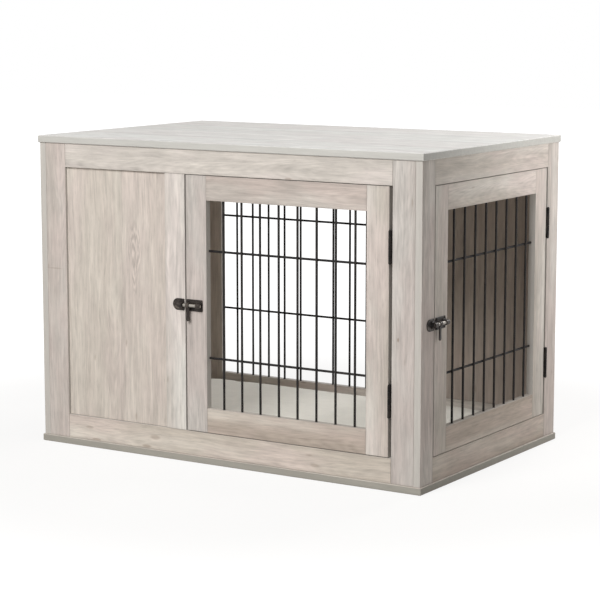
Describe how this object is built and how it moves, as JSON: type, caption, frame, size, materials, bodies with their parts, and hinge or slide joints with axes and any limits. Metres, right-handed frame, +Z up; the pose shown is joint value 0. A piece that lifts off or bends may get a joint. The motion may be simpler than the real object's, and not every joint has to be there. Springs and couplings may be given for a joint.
{
  "type": "dog crate end table",
  "caption": "End table that is also a dog crate: a box case with barred hinged doors at the front and right side, barrel bolts, a barred back, a fixed front panel and a floor cushion.",
  "frame": {"origin": "middle of the base panel's underside, on the floor", "axes": "+X to the right seen from the front, along the width; -Y is the front, with the large door; +Z up"},
  "size_m": [0.9417, 0.6127, 0.66],
  "materials": {
    "laminate": "matt whitewashed oak-grain laminate on board",
    "panel_laminate": "matt whitewashed oak-grain laminate in plank bands",
    "bar_paint": "satin black coated wire",
    "hardware": "satin black coated steel",
    "steel": "zinc plated",
    "dowel_wood": "bare beech",
    "cushion_fabric": "matt woven cover"
  },
  "bodies": {
    "case": {"top_panel": "laminate", "base_panel": "laminate", "left_side_panel": "laminate", "right_front_stile": "laminate", "right_rear_stile": "laminate", "right_top_rail": "laminate", "right_bottom_rail": "laminate", "front_left_stile": "laminate", "front_right_stile": "laminate", "front_mullion": "laminate", "front_top_rail": "laminate", "front_bottom_rail": "laminate", "front_fixed_panel": "panel_laminate", "back_left_stile": "laminate", "back_right_stile": "laminate", "back_mullion": "laminate", "back_top_rail": "laminate", "back_bottom_rail": "laminate", "back_fixed_panel": "panel_laminate", "back_grille": "bar_paint", "cushion": "cushion_fabric", "base_screw_front_left": "steel", "base_screw_front_right": "steel", "base_screw_back_left": "steel", "base_screw_back_right": "steel", "top_dowel_front_left": "dowel_wood", "top_dowel_front_right": "dowel_wood", "top_dowel_back_left": "dowel_wood", "top_dowel_back_right": "dowel_wood", "front_door_upper_hinge_frame_leaf": "hardware", "front_door_upper_hinge_pin": "hardware", "front_door_lower_hinge_frame_leaf": "hardware", "front_door_lower_hinge_pin": "hardware", "side_door_upper_hinge_frame_leaf": "hardware", "side_door_upper_hinge_pin": "hardware", "side_door_lower_hinge_frame_leaf": "hardware", "side_door_lower_hinge_pin": "hardware", "front_bolt_keeper": "hardware", "side_bolt_keeper": "hardware"},
    "front_door": {"front_door_latch_stile": "laminate", "front_door_hinge_stile": "laminate", "front_door_top_rail": "laminate", "front_door_bottom_rail": "laminate", "front_door_grille": "bar_paint", "front_door_upper_hinge_door_leaf": "hardware", "front_door_lower_hinge_door_leaf": "hardware", "front_bolt_plate": "hardware"},
    "side_door": {"side_door_latch_stile": "laminate", "side_door_hinge_stile": "laminate", "side_door_top_rail": "laminate", "side_door_bottom_rail": "laminate", "side_door_grille": "bar_paint", "side_door_upper_hinge_door_leaf": "hardware", "side_door_lower_hinge_door_leaf": "hardware", "side_bolt_plate": "hardware"},
    "front_bolt": {"front_bolt_rod": "steel"},
    "front_lever": {"front_bolt_lever": "hardware"},
    "side_bolt": {"side_bolt_rod": "steel"},
    "side_lever": {"side_bolt_lever": "hardware"}
  },
  "joints": [
    {"name": "front_door_hinge", "type": "hinge", "parent": "case", "child": "front_door", "pos_m": [0.3945, -0.3015, 0.33], "axis": [0, 0, 1], "range_deg": [0, 175]},
    {"name": "side_door_hinge", "type": "hinge", "parent": "case", "child": "side_door", "pos_m": [0.466, 0.245, 0.33], "axis": [0, 0, 1], "range_deg": [0, 175]},
    {"name": "front_bolt_slide", "type": "slide", "parent": "front_door", "child": "front_bolt", "axis": [1, 0, 0], "range_m": [-0.008, 0.008]},
    {"name": "front_lever_turn", "type": "hinge", "parent": "front_bolt", "child": "front_lever", "pos_m": [-0.0765, -0.3057, 0.3275], "axis": [-1, 0, 0], "range_deg": [0, 90]},
    {"name": "side_bolt_slide", "type": "slide", "parent": "side_door", "child": "side_bolt", "axis": [0, 1, 0], "range_m": [-0.008, 0.008]},
    {"name": "side_lever_turn", "type": "hinge", "parent": "side_bolt", "child": "side_lever", "pos_m": [0.4702, -0.237, 0.3275], "axis": [0, -1, 0], "range_deg": [0, 90]}
  ]
}
